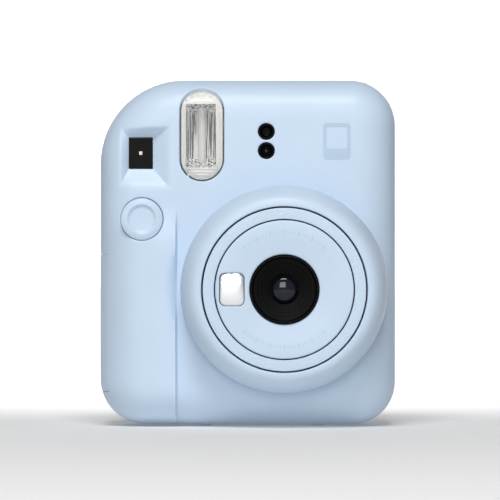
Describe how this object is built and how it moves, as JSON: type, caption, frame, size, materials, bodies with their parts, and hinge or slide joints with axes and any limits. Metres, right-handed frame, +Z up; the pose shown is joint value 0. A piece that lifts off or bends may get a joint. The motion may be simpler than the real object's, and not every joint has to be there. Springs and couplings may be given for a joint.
{
  "type": "instant film camera",
  "caption": "Compact rounded instant-film camera with a twist-dial lens dome, pill-shaped flash, side grip, film door and rollers.",
  "frame": {"origin": "on the standing plane, under the middle of the overall box", "axes": "+Z up, -Y out of the lens, +X to the right as seen from the front of the camera"},
  "size_m": [0.104, 0.0666, 0.122],
  "materials": {
    "shell": "soft matte pastel blue",
    "black": "matte black",
    "clear": "clear, slightly milky",
    "glass": "coated lens",
    "mirror": "polished",
    "metal": "satin",
    "battery": "printed sleeve without any print",
    "board": "solder mask",
    "gear": "unpainted acetal",
    "rubber": "matte"
  },
  "bodies": {
    "camera": {"front_shell": "shell", "rear_shell": "shell", "lens_dome": "shell", "battery_tray": "black", "strap_lug_left": "black", "strap_lug_right": "black", "film_chamber": "black", "light_box": "black", "film_exit_liner": "black", "sensor_module": "black", "finder_tunnel": "black", "flash_window": "clear", "flash_tube": "clear", "counter_window": "clear", "finder_front_window": "glass", "finder_eyepiece": "glass", "flash_reflector": "mirror", "door_hinge_pin": "metal", "latch_spring": "metal", "battery_contact": "metal", "battery_spring": "metal", "case_screw_lower": "metal", "case_screw_upper": "metal", "roller_bracket_left": "metal", "roller_bracket_right": "metal", "gear_plate": "metal", "shutter_button_spring": "metal", "battery_front": "battery", "battery_rear": "battery", "film_motor": "battery", "flash_capacitor": "battery", "shutter_switch_board": "board", "main_board": "board", "power_board": "board"},
    "lens_unit": {"lens_barrel": "black", "lens_face": "shell", "selfie_mirror": "mirror", "lens_hood": "black", "front_lens": "glass", "shutter_plate": "black", "lens_holder": "black", "rear_lens": "glass", "shutter_solenoid": "metal"},
    "dial": {"lens_dial": "shell"},
    "blade_left": {"shutter_blade_left": "black"},
    "blade_right": {"shutter_blade_right": "black"},
    "button": {"shutter_button": "shell"},
    "door": {"film_door": "shell", "film_pack_window": "clear", "film_pressure_spring_left": "metal", "film_pressure_spring_right": "metal"},
    "latch": {"door_latch": "shell"},
    "cover": {"battery_cover": "shell"},
    "drive": {"drive_roller": "rubber"},
    "pinch": {"pinch_roller": "metal"},
    "idler": {"idler_gear": "gear"},
    "pinion": {"motor_pinion": "gear"},
    "counter": {"counter_disc": "gear"},
    "pick": {"film_pick": "metal"},
    "mask": {"finder_parallax_mask": "metal"}
  },
  "joints": [
    {"name": "dial_turn", "type": "hinge", "parent": "lens_unit", "child": "dial", "pos_m": [0.0127, 0, 0.0484], "axis": [0, -1, 0], "range_deg": [0, 60]},
    {"name": "barrel_slide", "type": "slide", "parent": "camera", "child": "lens_unit", "axis": [0, -1, 0], "range_m": [0, 0.012]},
    {"name": "blade_left_swing", "type": "hinge", "parent": "lens_unit", "child": "blade_left", "pos_m": [0.0037, -0.023, 0.0434], "axis": [0, 1, 0], "range_deg": [0, 75], "stiffness_Nm_per_rad": 0.00005, "springref_deg": -22.92},
    {"name": "blade_right_swing", "type": "hinge", "parent": "lens_unit", "child": "blade_right", "pos_m": [0.0217, -0.022, 0.0434], "axis": [0, -1, 0], "range_deg": [0, 75]},
    {"name": "shutter_press", "type": "slide", "parent": "camera", "child": "button", "axis": [0, 1, 0], "range_m": [0, 0.0015], "stiffness_N_per_m": 400, "springref_m": -0.001, "deforming": ["shutter_button_spring"]},
    {"name": "door_hinge", "type": "hinge", "parent": "camera", "child": "door", "pos_m": [0.0483, 0.0295, 0.06], "axis": [0, 0, -1], "range_deg": [0, 105]},
    {"name": "latch_slide", "type": "slide", "parent": "camera", "child": "latch", "axis": [0, 0, -1], "range_m": [0, 0.004], "stiffness_N_per_m": 250, "springref_m": -0.002, "deforming": ["latch_spring"]},
    {"name": "battery_cover_off", "type": "slide", "parent": "camera", "child": "cover", "axis": [-1, 0, 0], "range_m": [0, 0.02]},
    {"name": "drive_roller_spin", "type": "hinge", "parent": "camera", "child": "drive", "pos_m": [0.0127, 0.0177, 0.1068], "axis": [1, 0, 0], "continuous": true},
    {"name": "pinch_roller_spin", "type": "hinge", "parent": "camera", "child": "pinch", "pos_m": [0.0127, 0.0097, 0.1068], "axis": [1, 0, 0], "continuous": true},
    {"name": "idler_spin", "type": "hinge", "parent": "camera", "child": "idler", "pos_m": [-0.0249, 0.0195, 0.0907], "axis": [1, 0, 0], "continuous": true},
    {"name": "pinion_spin", "type": "hinge", "parent": "camera", "child": "pinion", "pos_m": [-0.0249, 0.021, 0.07878], "axis": [1, 0, 0], "continuous": true},
    {"name": "counter_turn", "type": "hinge", "parent": "camera", "child": "counter", "pos_m": [-0.034, 0.0294, 0.026], "axis": [0, 1, 0], "range_deg": [0, 330]},
    {"name": "film_pick_slide", "type": "slide", "parent": "camera", "child": "pick", "axis": [0, 0, 1], "range_m": [0, 0.005], "stiffness_N_per_m": 150, "springref_m": -0.001},
    {"name": "parallax_mask_slide", "type": "slide", "parent": "camera", "child": "mask", "axis": [1, 0, 0], "range_m": [0, 0.0012]}
  ],
  "couplings": [
    {"joint": "barrel_slide", "follows": "dial_turn", "m_per_rad": 0.01145},
    {"joint": "parallax_mask_slide", "follows": "dial_turn", "m_per_rad": 0.00114},
    {"joint": "blade_right_swing", "follows": "blade_left_swing", "ratio": 1},
    {"joint": "pinch_roller_spin", "follows": "drive_roller_spin", "ratio": -1},
    {"joint": "idler_spin", "follows": "drive_roller_spin", "ratio": -0.8},
    {"joint": "pinion_spin", "follows": "drive_roller_spin", "ratio": 2.4}
  ]
}
